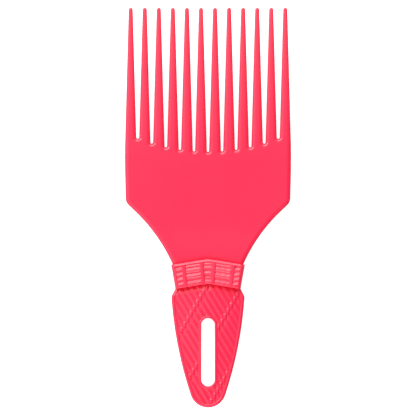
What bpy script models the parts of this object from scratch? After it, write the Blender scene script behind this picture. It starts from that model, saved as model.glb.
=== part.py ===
"""Volumizing comb: twelve long picks on a wide plate, a bound collar and a ribbed grip with a hanging slot.

The comb lies flat, as it would on a shelf: X is its width, Y its length with the picks towards +Y, and Z its
thickness. The collar's back rests at z = 0, and the origin is under the middle of the comb. Each shape is drawn
in stations along Y counted from the heel, the free end of the grip, about the comb's middle plane.
"""

import math

import bmesh
import bpy
from mathutils import Vector

# Picks
TOOTH_COUNT = 12
TOOTH_PITCH = 0.00633
TOOTH_LENGTH = 0.0650
TOOTH_ROOT_GAP = 0.00095
TOOTH_TIP_WIDTH = 0.00185
TOOTH_TIP_THICKNESS = 0.0019
TOOTH_EDGE_ROUND = 0.0008
ROOT_ARC_RADIUS = 0.0870
ROOT_STUB_HEIGHT = 0.0016

# Plate, and the tang that runs on from it through the collar
PLATE_DEPTH = 0.0481
PLATE_THICKNESS = 0.0032
PLATE_EDGE_ROUND = 0.0010
WIDEST_HEIGHT = 0.0460
WIDEST_BULGE = 0.0002
SHOULDER_HEIGHT = 0.0254
SHOULDER_INSET = 0.00015
SHOULDER_ROUND = 0.0045
SHOULDER_RUN = 0.0060
SHOULDER_SLOPE_DEGREES = 46.5
NECK_INSET = 0.0007
NECK_THICKNESS = 0.0054
NECK_SWELL_LENGTH = 0.0160
TANG_SIDE_WALL = 0.0047
TANG_THICKNESS = 0.0030
TANG_DEPTH_IN_HANDLE = 0.0110
TANG_ROOT_OVERLAP = 0.0040

# Collar
COLLAR_HEIGHT = 0.0111
COLLAR_THICKNESS = 0.0096
COLLAR_TOP_OVERHANG = 0.00013
COLLAR_BOTTOM_INSET = 0.00367
COLLAR_CHEVRON_DEGREES = 9.4
COLLAR_SIDE_ROUND = 0.0020
COLLAR_EDGE_ROUND = 0.0003
COLLAR_RIM = 0.0011
CELL_DEPTH = 0.0007
CORD_HEIGHT = 0.0005
CORD_SINK = 0.0003

# Handle
HANDLE_LENGTH = 0.0558
HANDLE_WIDTH = 0.03307
HANDLE_THICKNESS = 0.0066
HEEL_THICKNESS = 0.0054
HEEL_RADIUS = 0.0082
HANDLE_SIDE_RADIUS = 0.1770
BELLY_DROP = 0.0059
BELLY_ROUND = 0.0029
HANDLE_EDGE_ROUND = 0.0009
SLOT_WIDTH = 0.0061
SLOT_HEEL_MARGIN = 0.0093
SLOT_HEAD_MARGIN = 0.0156
SLOT_EDGE_ROUND = 0.0004
SLOT_RIM = 0.0008

# Ribbed grips: ribs that slant one way, crossed by a few ridges that slant the other way
GRIP_RIM = 0.0012
GRIP_RECESS = 0.0008
GRIP_BASE_THICKNESS = 0.0004
RIB_HEIGHT = 0.0004
RIB_PITCH = 0.0025
RIB_WIDTH = 0.0014
RIB_PLACE = 0.0022
RIB_DEGREES = 121.0
RIDGE_WIDTH = 0.0008
RIDGE_SPACING = 0.0138
RIDGE_PLACE = 0.0001
RIDGE_DEGREES = 60.0

# Fits: the gap at every seam, and how far a cutter runs past what it cuts
SEAM = 0.0003
OVERRUN = 0.0020
ROUND_TIP_SHARE = 0.88

# The collar's bars as shares of its half width, at its foot and at its head
CENTRE_BAR_INNER_SHARES = (0.075, 0.135)
CENTRE_BAR_OUTER_SHARES = (0.185, 0.210)
SIDE_BAR_INNER_SHARES = (0.62, 0.62)
SIDE_BAR_OUTER_SHARES = (0.70, 0.70)

# Cords, ties and knots in the cells: where their middle lies and how wide they are, as shares of its height
CORD_PLACE_SHARES = (0.16, 0.37, 0.63, 0.84)
CORD_WIDTH_SHARES = (0.07, 0.18, 0.18, 0.07)
TIE_PLACE_SHARES = (0.20, 0.50, 0.80)
TIE_WIDTH_SHARES = (0.14, 0.14, 0.14)
TIE_RISE_SHARES = (0.08, 0.20)
CORD_ROOT_SHARE = 0.02
KNOT_PLACE_SHARES = (0.17, 0.47, 0.72)
KNOT_HEIGHT_SHARES = (0.15, 0.15, 0.19)
KNOT_WIDTH_SHARES = (0.15, 0.21, 0.29)

# Stations along Y, from the heel
COLLAR_FOOT = HANDLE_LENGTH
COLLAR_HEAD = COLLAR_FOOT + COLLAR_HEIGHT
ROOT_LINE = COLLAR_HEAD + PLATE_DEPTH
TIP_LINE = ROOT_LINE + TOOTH_LENGTH
TANG_END = COLLAR_FOOT - TANG_DEPTH_IN_HANDLE
SLOT_START = SLOT_HEEL_MARGIN + SLOT_WIDTH / 2
SLOT_STOP = HANDLE_LENGTH - SLOT_HEAD_MARGIN - SLOT_WIDTH / 2
BELLY = HANDLE_LENGTH - BELLY_DROP

# Widths that follow from the handle's, and the other sizes worked out from those above
COLLAR_TOP_WIDTH = HANDLE_WIDTH + COLLAR_TOP_OVERHANG
COLLAR_BOTTOM_WIDTH = HANDLE_WIDTH - COLLAR_BOTTOM_INSET
NECK_WIDTH = COLLAR_TOP_WIDTH - 2 * NECK_INSET
TANG_WIDTH = COLLAR_BOTTOM_WIDTH - 2 * TANG_SIDE_WALL
TOOTH_ROOT_WIDTH = TOOTH_PITCH - TOOTH_ROOT_GAP
CHEVRON_SLOPE = math.tan(math.radians(COLLAR_CHEVRON_DEGREES))

CORAL = (1.0, 0.047, 0.107, 1.0)


def clear_scene():
    for old in list(bpy.data.objects):
        bpy.data.objects.remove(old, do_unlink=True)


def collection(name, shown=True):
    made = bpy.data.collections.new(name)
    bpy.context.scene.collection.children.link(made)
    made.hide_render = not shown
    return made


def plastic(name, roughness):
    made = bpy.data.materials.new(name)
    made.use_nodes = True
    shader = made.node_tree.nodes["Principled BSDF"]
    shader.inputs["Base Color"].default_value = CORAL
    shader.inputs["Roughness"].default_value = roughness
    shader.inputs["Metallic"].default_value = 0.0
    made.diffuse_color = CORAL
    return made


# Outlines, as points (x, station)


def arc(centre, radius, start, stop, steps):
    """Points on a circle from angle start to angle stop, in degrees, both ends included."""
    turns = [math.radians(start + (stop - start) * step / steps) for step in range(steps + 1)]
    return [(centre[0] + radius * math.cos(a), centre[1] + radius * math.sin(a)) for a in turns]


def rounded_corner(before, corner, after, radius, steps):
    """The corner of an outline as an arc that both of its sides run into."""
    here = Vector(corner)
    back = (Vector(before) - here).normalized()
    ahead = (Vector(after) - here).normalized()
    half = back.angle(ahead) / 2
    centre = here + (back + ahead).normalized() * (radius / math.sin(half))
    start = here + back * (radius / math.tan(half)) - centre
    turn = start.angle_signed(here + ahead * (radius / math.tan(half)) - centre)
    points = []
    for step in range(steps + 1):
        a = -turn * step / steps
        swung = Vector((start.x * math.cos(a) - start.y * math.sin(a), start.x * math.sin(a) + start.y * math.cos(a)))
        points.append(tuple(centre + swung))
    return points


def tangent_arc(start, direction, stop, steps):
    """The arc that leaves start in that direction and ends at stop."""
    begin = Vector(start)
    along = Vector(direction).normalized()
    across = Vector((-along.y, along.x))
    chord = Vector(stop) - begin
    radius = chord.length_squared / (2 * chord.dot(across))
    centre = begin + across * radius
    first = begin - centre
    turn = 2 * math.atan2(chord.dot(across), chord.dot(along))
    points = []
    for step in range(steps + 1):
        a = turn * step / steps
        swung = Vector((first.x * math.cos(a) - first.y * math.sin(a), first.x * math.sin(a) + first.y * math.cos(a)))
        points.append(tuple(centre + swung))
    return points


def mirrored(points):
    return [(-x, y) for x, y in reversed(points)]


def inset(points, distance, top_distance):
    """A counterclockwise outline moved inwards. The sides that face +Y, at its top, move by their own distance."""
    lines = []
    for here, there in zip(points, points[1:] + points[:1]):
        along = (Vector(there) - Vector(here)).normalized()
        inward = Vector((-along.y, along.x))
        lines.append((inward, top_distance if inward.y < -math.cos(math.radians(30)) else distance))
    moved = []
    for point, first, second in zip(points, lines[-1:] + lines[:-1], lines):
        (n1, d1), (n2, d2) = first, second
        cross = n1.x * n2.y - n1.y * n2.x
        if abs(cross) < 1e-4:
            shift = n2 * d2
        else:
            shift = Vector(((d1 * n2.y - d2 * n1.y) / cross, (d2 * n1.x - d1 * n2.x) / cross))
        moved.append(tuple(Vector(point) + shift))
    return moved


def stadium(margin):
    """The hanging slot's outline, grown by a margin, counterclockwise."""
    radius = SLOT_WIDTH / 2 + margin
    return arc((0, SLOT_START), radius, -180, 0, 10) + arc((0, SLOT_STOP), radius, 0, 180, 10)


# Solids


def slab(name, outlines, low, high):
    """A flat piece between two heights about the middle plane, from its outline and any holes."""
    data = bpy.data.curves.new(name, "CURVE")
    data.dimensions = "2D"
    data.fill_mode = "BOTH"
    data.extrude = (high - low) / 2
    for outline in outlines:
        spline = data.splines.new("POLY")
        spline.points.add(len(outline) - 1)
        for point, (x, y) in zip(spline.points, outline):
            point.co = (x, y, 0, 1)
        spline.use_cyclic_u = True
    drawn = bpy.data.objects.new(name + "_outline", data)
    bpy.context.scene.collection.objects.link(drawn)
    graph = bpy.context.evaluated_depsgraph_get()
    mesh = bpy.data.meshes.new_from_object(drawn.evaluated_get(graph))
    bpy.data.objects.remove(drawn)
    bpy.data.curves.remove(data)
    mesh.name = name
    edit = bmesh.new()
    edit.from_mesh(mesh)
    bmesh.ops.remove_doubles(edit, verts=edit.verts, dist=1e-6)
    bmesh.ops.translate(edit, verts=edit.verts, vec=(0, 0, (low + high) / 2))
    flatten(edit)
    edit.to_mesh(mesh)
    edit.free()
    return bpy.data.objects.new(name, mesh)


def flatten(edit):
    """Joins the triangles of each flat face, and turns the faces outwards."""
    bmesh.ops.dissolve_limit(edit, angle_limit=math.radians(0.05), verts=edit.verts, edges=edit.edges)
    bmesh.ops.recalc_face_normals(edit, faces=edit.faces)


def block(name, centre, size):
    edit = bmesh.new()
    bmesh.ops.create_cube(edit, size=1)
    bmesh.ops.scale(edit, verts=edit.verts, vec=size)
    bmesh.ops.translate(edit, verts=edit.verts, vec=centre)
    mesh = bpy.data.meshes.new(name)
    edit.to_mesh(mesh)
    edit.free()
    return bpy.data.objects.new(name, mesh)


def set_thickness(obj, half_at, folds=()):
    """Gives a slab its half thickness at each station, folding its faces along the stations named."""
    edit = bmesh.new()
    edit.from_mesh(obj.data)
    for station in folds:
        everything = edit.verts[:] + edit.edges[:] + edit.faces[:]
        bmesh.ops.bisect_plane(edit, geom=everything, plane_co=(0, station, 0), plane_no=(0, 1, 0), dist=1e-6)
    for corner in edit.verts:
        corner.co.z = math.copysign(half_at(corner.co.y), corner.co.z)
    edit.to_mesh(obj.data)
    edit.free()


def round_rims(obj, width, segments, share):
    """Rounds the edges where a face of the slab meets its side. share gives each edge's part of the width."""
    edit = bmesh.new()
    edit.from_mesh(obj.data)
    weight = edit.edges.layers.float.new("bevel_weight_edge")
    for edge in edit.edges:
        flat = [face for face in edge.link_faces if abs(face.normal.z) > 0.7]
        wall = [face for face in edge.link_faces if abs(face.normal.z) <= 0.7]
        if len(flat) == 1 and len(wall) == 1:
            edge[weight] = share(edge, wall[0].normal)
    edit.to_mesh(obj.data)
    edit.free()
    bevel = obj.modifiers.new("rounded_rims", "BEVEL")
    bevel.limit_method = "WEIGHT"
    bevel.width = width
    bevel.segments = segments


def boolean(obj, other, operation):
    step = obj.modifiers.new(operation.lower() + "_" + other.name, "BOOLEAN")
    step.operation = operation
    step.object = other
    step.solver = "EXACT"


class Comb:
    """The collections and the empty that carry the pieces."""

    def __init__(self):
        self.pieces = collection("volumizing_comb")
        self.cutters = collection("cutters", shown=False)
        self.axis = bpy.data.objects.new("heel_axis", None)
        self.axis.location = (0, -TIP_LINE / 2, COLLAR_THICKNESS / 2)
        self.pieces.objects.link(self.axis)

    def add(self, obj, roughness):
        obj.parent = self.axis
        self.pieces.objects.link(obj)
        obj.data.materials.clear()
        obj.data.materials.append(plastic(obj.name + "_plastic", roughness))
        obj.data.shade_smooth()
        obj.data.set_sharp_from_angle(angle=math.radians(35))
        return obj

    def cutter(self, obj):
        obj.parent = self.axis
        self.cutters.objects.link(obj)
        obj.hide_render = True
        obj.display_type = "WIRE"
        return obj


# Picks


def tooth_place(index):
    return (index - (TOOTH_COUNT - 1) / 2) * TOOTH_PITCH


def tooth_half_width(station):
    share = (TIP_LINE - station) / TOOTH_LENGTH
    return (TOOTH_TIP_WIDTH + (TOOTH_ROOT_WIDTH - TOOTH_TIP_WIDTH) * share) / 2


def root_rise(x):
    """How far the bottom of a gap at x lies above the middle one: the gaps end on an arc."""
    reach = min(abs(x), ROOT_ARC_RADIUS)
    return ROOT_ARC_RADIUS - math.sqrt(ROOT_ARC_RADIUS**2 - reach**2)


def gap_end(x):
    """The radius and the centre station of the round bottom of the gap at x."""
    spread = (TOOTH_ROOT_WIDTH - TOOTH_TIP_WIDTH) / 2 / TOOTH_LENGTH
    bottom = ROOT_LINE + root_rise(x)
    radius = (TOOTH_PITCH / 2 - tooth_half_width(bottom)) / (1 - spread)
    return radius, bottom + radius


def seat_station(index):
    """Where a pick stands on its stub of the plate, above the gaps on both sides of it."""
    x = abs(tooth_place(index))
    stub = ROOT_LINE + root_rise(x) + ROOT_STUB_HEIGHT
    if index in (0, TOOTH_COUNT - 1):
        return stub
    return max(stub, gap_end(x + TOOTH_PITCH / 2)[1])


def blade_half_thickness(station):
    """Half the thickness of the plate and the picks: thick at the neck, even over the plate, fine at the tips."""
    marks = (
        (COLLAR_HEAD, NECK_THICKNESS),
        (COLLAR_HEAD + NECK_SWELL_LENGTH, PLATE_THICKNESS),
        (ROOT_LINE, PLATE_THICKNESS),
        (TIP_LINE, TOOTH_TIP_THICKNESS),
    )
    for (start, thick), (stop, thin) in zip(marks, marks[1:]):
        if station <= stop:
            share = max(station - start, 0) / (stop - start)
            return (thick + (thin - thick) * share) / 2
    return marks[-1][1] / 2


def make_tooth(index):
    middle = tooth_place(index)
    base = seat_station(index) + SEAM
    half = tooth_half_width(base)
    tip = TOOTH_TIP_WIDTH / 2
    outline = [(middle - half, base), (middle + half, base)]
    outline += arc((middle, TIP_LINE - tip), tip, 0, 180, 8)
    tooth = slab(f"tooth_{index + 1:02d}", [outline], -TOOTH_TIP_THICKNESS, TOOTH_TIP_THICKNESS)
    set_thickness(tooth, blade_half_thickness)
    rounding = min(TOOTH_EDGE_ROUND, ROUND_TIP_SHARE * tip)
    round_rims(tooth, rounding, 2, lambda edge, wall: float(wall.y > -0.99))
    return tooth


# Plate


def plate_side():
    """The right side of the plate, from the neck up to the outer pick's stub."""
    last = TOOTH_COUNT - 1
    stub = (tooth_place(last) + tooth_half_width(seat_station(last)), seat_station(last))
    neck = (NECK_WIDTH / 2, COLLAR_HEAD + SEAM - CHEVRON_SLOPE * NECK_WIDTH / 2)
    shoulder = (stub[0] - SHOULDER_INSET, COLLAR_HEAD + SHOULDER_HEIGHT)
    widest = (stub[0] + WIDEST_BULGE, COLLAR_HEAD + WIDEST_HEIGHT)
    slope = math.radians(SHOULDER_SLOPE_DEGREES)
    inward = (-math.sin(slope), -math.cos(slope))
    run_end = (shoulder[0] + inward[0] * SHOULDER_RUN, shoulder[1] + inward[1] * SHOULDER_RUN)
    corner = rounded_corner(widest, shoulder, run_end, SHOULDER_ROUND, 5)
    sweep = tangent_arc(run_end, inward, neck, 12)
    return list(reversed(sweep)) + list(reversed(corner)) + [widest, stub]


def plate_teeth():
    """The stubs and the round gap bottoms between them, from right to left."""
    points = []
    for index in reversed(range(TOOTH_COUNT)):
        seat = seat_station(index)
        half = tooth_half_width(seat)
        if index < TOOTH_COUNT - 1:
            points.append((tooth_place(index) + half, seat))
        if index > 0:
            points.append((tooth_place(index) - half, seat))
            middle = tooth_place(index) - TOOTH_PITCH / 2
            radius, centre = gap_end(middle)
            points += arc((middle, centre), radius, 0, -180, 6)
    return points


def make_head_plate(comb):
    side = plate_side()
    outline = side + plate_teeth() + mirrored(side) + [(0, COLLAR_HEAD + SEAM)]
    plate = slab("head_plate", [outline], -PLATE_THICKNESS, PLATE_THICKNESS)
    folds = (COLLAR_HEAD, COLLAR_HEAD + NECK_SWELL_LENGTH, ROOT_LINE)
    set_thickness(plate, blade_half_thickness, folds)
    gap_share = min(TOOTH_EDGE_ROUND / PLATE_EDGE_ROUND, 1.0)

    def share(edge, wall):
        if wall.y > 0.99 or wall.y < -0.9:
            return 0.0
        low = min(corner.co.y for corner in edge.verts)
        return gap_share if low > ROOT_LINE - OVERRUN else 1.0

    round_rims(plate, PLATE_EDGE_ROUND, 2, share)
    top = COLLAR_HEAD + TANG_ROOT_OVERLAP
    middle = (0, (TANG_END + top) / 2, 0)
    tang = comb.cutter(block("tang_core", middle, (TANG_WIDTH, top - TANG_END, TANG_THICKNESS)))
    boolean(plate, tang, "UNION")
    return plate


# Collar


def chevron(x, apex):
    return apex - CHEVRON_SLOPE * abs(x)


def collar_half_width(station):
    share = (station - COLLAR_FOOT) / COLLAR_HEIGHT
    return (COLLAR_BOTTOM_WIDTH + (COLLAR_TOP_WIDTH - COLLAR_BOTTOM_WIDTH) * share) / 2


def collar_point(across, up):
    """A point on the collar's face: across from -1 to 1 over its width, up from 0 to 1 over its height."""
    level = COLLAR_FOOT + COLLAR_HEIGHT * up
    x = across * collar_half_width(level)
    return (x, chevron(x, level))


def strip(left_shares, right_shares, low, high, rise=0):
    """A part of the collar's face between two leaning sides and two chevrons. Its right end can lie higher."""

    def corner(shares, up):
        foot, head = shares
        return collar_point(foot + (head - foot) * up, up)

    corners = [corner(left_shares, low - rise / 2), corner(right_shares, low + rise / 2)]
    corners += [corner(right_shares, high + rise / 2), corner(left_shares, high - rise / 2)]
    if left_shares[0] < 0 < right_shares[0]:
        corners.insert(3, collar_point(0, high))
        corners.insert(1, collar_point(0, low))
    return corners


def flipped(shares):
    return tuple(-share for share in shares)


def cell_sides():
    """The five sunk cells' sides: the centre one, the ones beside it, and the ones at the collar's sides."""
    edge = 1 - 2 * COLLAR_SIDE_ROUND / COLLAR_TOP_WIDTH
    beside = (CENTRE_BAR_OUTER_SHARES, SIDE_BAR_INNER_SHARES)
    outer = (SIDE_BAR_OUTER_SHARES, (edge, edge))
    centre = (flipped(CENTRE_BAR_INNER_SHARES), CENTRE_BAR_INNER_SHARES)
    return centre, beside, tuple(map(flipped, beside[::-1])), outer, tuple(map(flipped, outer[::-1]))


def rooted(sides):
    left, right = sides
    return tuple(share - CORD_ROOT_SHARE for share in left), tuple(share + CORD_ROOT_SHARE for share in right)


def collar_cords():
    """The cords, ties and knots that lie in the cells, as outlines. Cords and ties run into the cells' walls."""
    _, beside, beside_left, outer, outer_left = map(rooted, cell_sides())
    outlines = []
    for sides in (beside, beside_left):
        for place, width in zip(CORD_PLACE_SHARES, CORD_WIDTH_SHARES):
            outlines.append(strip(*sides, place - width / 2, place + width / 2))
    for sides, rise in zip((outer_left, outer), TIE_RISE_SHARES):
        for place, width in zip(TIE_PLACE_SHARES, TIE_WIDTH_SHARES):
            outlines.append(strip(*sides, place - width / 2, place + width / 2, rise))
    turns = [math.radians(360 * step / 12) for step in range(12)]
    for place, height, width in zip(KNOT_PLACE_SHARES, KNOT_HEIGHT_SHARES, KNOT_WIDTH_SHARES):
        across, up = collar_half_width(COLLAR_FOOT) * width / 2, COLLAR_HEIGHT * height / 2
        middle = collar_point(0, place)
        outlines.append([(math.cos(a) * across, middle[1] + math.sin(a) * up) for a in turns])
    return outlines


def make_collar(comb):
    half = COLLAR_THICKNESS / 2
    floor = half - CELL_DEPTH
    outline = [collar_point(-1, 0), collar_point(0, 0), collar_point(1, 0)]
    outline += [collar_point(1, 1), collar_point(0, 1), collar_point(-1, 1)]
    collar = slab("collar", [outline], -half, half)
    small = COLLAR_EDGE_ROUND / COLLAR_SIDE_ROUND
    round_rims(collar, COLLAR_SIDE_ROUND, 4, lambda edge, wall: 1.0 if abs(wall.x) > 0.7 else small)
    middle = (0, (COLLAR_FOOT + COLLAR_HEAD) / 2, 0)
    hole = (TANG_WIDTH + 2 * SEAM, COLLAR_HEIGHT * 2, TANG_THICKNESS + 2 * SEAM)
    boolean(collar, comb.cutter(block("tang_passage", middle, hole)), "DIFFERENCE")
    rim = COLLAR_RIM / COLLAR_HEIGHT
    cells = [strip(*sides, rim, 1 - rim) for sides in cell_sides()]
    for face, label in ((1, "front"), (-1, "back")):
        turned = [[(face * x, y) for x, y in outline] for outline in cells]
        low, high = sorted((face * floor, face * (half + OVERRUN)))
        boolean(collar, comb.cutter(slab(f"collar_cells_{label}", turned, low, high)), "DIFFERENCE")
        turned = [[(face * x, y) for x, y in outline] for outline in collar_cords()]
        low, high = sorted((face * (floor - CORD_SINK), face * (floor + CORD_HEIGHT)))
        boolean(collar, comb.cutter(slab(f"collar_cords_{label}", turned, low, high)), "UNION")
    return collar


# Handle and its ribbed grips


def side_arc_centre():
    """The centre of the handle's long side arc, which passes the belly corner and runs into the round heel."""
    belly = Vector((HANDLE_WIDTH / 2, BELLY))
    heel = Vector((0, HEEL_RADIUS))
    far, near = HANDLE_SIDE_RADIUS, HANDLE_SIDE_RADIUS - HEEL_RADIUS
    gap = heel - belly
    along = (far**2 - near**2 + gap.length_squared) / (2 * gap.length)
    off = math.sqrt(max(far**2 - along**2, 0))
    unit = gap.normalized()
    return belly + unit * along + Vector((unit.y, -unit.x)) * off


def handle_outline():
    """The handle's whole outline, counterclockwise from the heel."""
    belly = (HANDLE_WIDTH / 2, BELLY)
    centre = side_arc_centre()
    heel = (0, HEEL_RADIUS)
    to_heel = Vector(heel) - centre
    to_belly = Vector(belly) - centre
    low = math.degrees(math.atan2(to_heel.y, to_heel.x))
    high = math.degrees(math.atan2(to_belly.y, to_belly.x))
    top = (COLLAR_BOTTOM_WIDTH / 2, chevron(COLLAR_BOTTOM_WIDTH / 2, COLLAR_FOOT - SEAM))
    side = arc(centre, HANDLE_SIDE_RADIUS, low, high, 12)
    corner = rounded_corner(side[-2], belly, top, BELLY_ROUND, 5)
    reach = (Vector(corner[0]) - Vector(belly)).length
    side = [point for point in side if (Vector(point) - Vector(belly)).length > reach + SEAM]
    right = arc(heel, HEEL_RADIUS, -90, low, 8)[1:-1] + side + corner + [top]
    return [(0, 0)] + right + [(0, COLLAR_FOOT - SEAM)] + mirrored(right)


def handle_scale(station):
    """The handle thins evenly from the collar to the heel."""
    share = station / COLLAR_FOOT
    return (HEEL_THICKNESS + (HANDLE_THICKNESS - HEEL_THICKNESS) * share) / HANDLE_THICKNESS


def thin_to_heel(obj):
    for corner in obj.data.vertices:
        corner.co.z *= handle_scale(corner.co.y)
    return obj


def make_handle(comb):
    half = HANDLE_THICKNESS / 2
    outline = handle_outline()
    handle = thin_to_heel(slab("handle", [outline, stadium(0)], -half, half))
    slot_share = SLOT_EDGE_ROUND / HANDLE_EDGE_ROUND

    def share(edge, wall):
        if wall.y > 0.9 and edge.verts[0].co.y > SLOT_STOP + SLOT_WIDTH:
            return 0.0
        in_slot = all(abs(corner.co.x) < SLOT_WIDTH / 2 + SLOT_RIM / 2 for corner in edge.verts)
        past_ends = any(not SLOT_RIM < corner.co.y < COLLAR_FOOT - SLOT_WIDTH for corner in edge.verts)
        return slot_share if in_slot and not past_ends else 1.0

    round_rims(handle, HANDLE_EDGE_ROUND, 2, share)
    top = COLLAR_FOOT + OVERRUN
    foot = TANG_END - SEAM
    middle = (0, (foot + top) / 2, 0)
    size = (TANG_WIDTH + 2 * SEAM, top - foot, TANG_THICKNESS + 2 * SEAM)
    boolean(handle, comb.cutter(block("tang_socket", middle, size)), "DIFFERENCE")
    field = [inset(outline, GRIP_RIM, -OVERRUN), stadium(SLOT_RIM)]
    floor = half - GRIP_RECESS
    for face, label in ((1, "front"), (-1, "back")):
        low, high = sorted((face * floor, face * (half + OVERRUN)))
        recess = comb.cutter(thin_to_heel(slab(f"grip_recess_{label}", field, low, high)))
        boolean(handle, recess, "DIFFERENCE")
    return handle


def across_line(degrees):
    """The direction square to lines that slant by these degrees, to their right."""
    turn = math.radians(degrees)
    return Vector((math.sin(turn), -math.cos(turn)))


def crossing(rib_across, rib_offset, ridge_across, ridge_offset):
    """Where two slanting lines meet. Their offsets count from the middle of the handle's top."""
    cross = rib_across.cross(ridge_across)
    x = (rib_offset * ridge_across.y - ridge_offset * rib_across.y) / cross
    y = (ridge_offset * rib_across.x - rib_offset * ridge_across.x) / cross
    return (x, y + COLLAR_FOOT)


def groove_outlines():
    """The grooves between the ribs. The ridges close their ends, so they are rows of slanting cells."""
    rib_across, ridge_across = across_line(RIB_DEGREES), across_line(RIDGE_DEGREES)
    reach = COLLAR_FOOT + HANDLE_WIDTH
    outlines = []
    for ridge in range(-math.ceil(reach / RIDGE_SPACING), math.ceil(reach / RIDGE_SPACING)):
        start = RIDGE_PLACE + ridge * RIDGE_SPACING + RIDGE_WIDTH / 2
        stop = start + RIDGE_SPACING - RIDGE_WIDTH
        for rib in range(-math.ceil(reach / RIB_PITCH), math.ceil(reach / RIB_PITCH)):
            low = RIB_PLACE + rib * RIB_PITCH + RIB_WIDTH / 2
            high = low + RIB_PITCH - RIB_WIDTH
            pairs = ((low, start), (low, stop), (high, stop), (high, start))
            corners = [crossing(rib_across, offset, ridge_across, edge) for offset, edge in pairs]
            beside = all(abs(x) > HANDLE_WIDTH for x, _ in corners)
            beyond = all(y < 0 for _, y in corners) or all(y > COLLAR_FOOT for _, y in corners)
            if not beside and not beyond:
                outlines.append(corners)
    return outlines


def make_grip(comb, face, label):
    """One ribbed grip, in the recess of one face. The back one is the front one turned about the comb's length."""
    floor = HANDLE_THICKNESS / 2 - GRIP_RECESS + SEAM
    root = floor + GRIP_BASE_THICKNESS
    top = root + RIB_HEIGHT

    def turned_slab(name, outlines, low, high):
        turned = [[(face * x, y) for x, y in outline] for outline in outlines]
        low, high = sorted((face * low, face * high))
        return thin_to_heel(slab(f"{name}_{label}", turned, low, high))

    field = [inset(handle_outline(), GRIP_RIM + SEAM, 0), stadium(SLOT_RIM + SEAM)]
    grip = turned_slab("grip", field, floor, top)
    boolean(grip, comb.cutter(turned_slab("grip_grooves", groove_outlines(), root, top + OVERRUN)), "DIFFERENCE")
    return grip


def main():
    clear_scene()
    comb = Comb()
    for index in range(TOOTH_COUNT):
        comb.add(make_tooth(index), 0.28)
    comb.add(make_head_plate(comb), 0.30)
    comb.add(make_collar(comb), 0.26)
    comb.add(make_handle(comb), 0.30)
    for face, label in ((1, "front"), (-1, "back")):
        comb.add(make_grip(comb, face, label), 0.34)


if __name__ == "__main__":
    main()
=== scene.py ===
"""The volumizing comb, dressed: moulded coral plastic with twelve picks, a bound collar and a ribbed grip.

Each body of the comb is drawn flat, as half of a mould is: a face mesh in the comb's middle plane, whose
points know how far they lie from its edges. A Geometry Nodes tree then raises the face by the body's own
rule, closes it at the parting line, and turns a copy of it over for the back. Places along the comb are
stations, counted along Y from the heel, the free end of the grip.
"""

import math

import bpy
import numpy as np
from bpy.props import FloatProperty, FloatVectorProperty, PointerProperty
from bpy.types import Operator, Panel, PropertyGroup
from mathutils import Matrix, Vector
from mathutils.geometry import delaunay_2d_cdt


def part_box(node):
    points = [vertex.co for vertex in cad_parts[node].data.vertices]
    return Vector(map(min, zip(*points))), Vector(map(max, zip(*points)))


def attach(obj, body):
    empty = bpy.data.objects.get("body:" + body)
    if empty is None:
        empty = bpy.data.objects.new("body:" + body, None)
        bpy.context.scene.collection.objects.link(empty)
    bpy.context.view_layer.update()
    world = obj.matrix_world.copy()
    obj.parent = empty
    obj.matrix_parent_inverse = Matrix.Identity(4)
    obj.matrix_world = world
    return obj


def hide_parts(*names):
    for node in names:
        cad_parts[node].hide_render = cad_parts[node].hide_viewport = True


bl_info = {
    "name": "Volumizing Comb",
    "version": (1, 0, 0),
    "blender": (4, 5, 0),
    "location": "View3D > Sidebar > Comb",
    "description": "Builds a moulded volumizing comb and the studio that it is shown in",
    "category": "Object",
}

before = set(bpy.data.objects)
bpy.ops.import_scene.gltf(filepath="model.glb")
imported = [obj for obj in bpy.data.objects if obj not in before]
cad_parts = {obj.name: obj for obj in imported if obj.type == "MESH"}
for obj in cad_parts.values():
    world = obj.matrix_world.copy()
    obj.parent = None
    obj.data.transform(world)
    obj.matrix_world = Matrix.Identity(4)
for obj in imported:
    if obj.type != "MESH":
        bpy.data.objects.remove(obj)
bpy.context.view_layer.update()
COLLAR_LOW, COLLAR_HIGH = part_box("collar")
BODY = "root"
PICK_COUNT = 12

# The mould's parting line stands this far out of the walls and this high above and below the middle plane,
# and points of the halves that are this close are merged
PARTING_PROUD = 0.00003
PARTING_HEIGHT = 0.00006
MERGE_DISTANCE = 0.000002

# An edge on a face's rim has fewer faces beside it than this
RIM_NEIGHBOURS = 1.5

# Where the points of a rounded edge lie, in degrees from its wall to its face, and the flat beside it
ROUND_ANGLES = (0, 9, 20, 32, 45, 58, 70, 81, 90)
SUPPORT = 0.00006

# How far a face's inner points keep from the rings along its edges, and a side's curve from the belly
LATTICE_CLEARANCE = 0.00012
CORNER_CLEARANCE = 0.0001

# How a face is filled: with the triangles inside its outline, and with points no nearer together than this
TRIANGLES_INSIDE = 1
NEAREST_POINTS = 1e-8

# Points where the neck swells: how close their rows and columns are, how far the rows run beyond the collar's
# head and the swell, and how many columns there are on each side
NECK_ROW = 0.0004
NECK_COLUMN = 0.0008
NECK_MARGINS = (0.004, 0.001)
NECK_COLUMNS = 48

# How many lines of points run from one rib or row of beads to the next, and where they lie across the fillets
LINES_TO_RIB = 10
LINES_TO_BEADS = 55
GRIP_FILLET_STEPS = (0.33, 0.67, 1.0)

# The rows of the collar's face, its columns from side to middle, wall by wall, where columns lie across the
# fillets, and how far the side's columns keep from the first wall, as a share of the half width
COLLAR_ROWS = 100
COLLAR_COLUMNS = (2, 22, 5, 30, 4, 14)
COLLAR_FILLET_STEPS = (0, 0.25, 0.5, 0.75, 1)
COLUMN_CLEARANCE = 0.004

# Plate outline
WIDEST_BULGE = 0.0002
STUB_HEIGHT = 0.0016
SHOULDER_INSET = 0.00015
SHOULDER_ROUND = 0.0045
SHOULDER_RUN = 0.0060
SHOULDER_SLOPE_DEGREES = 46.5
NECK_INSET = 0.0007
HIDDEN_DEPTH = 0.0024

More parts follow.
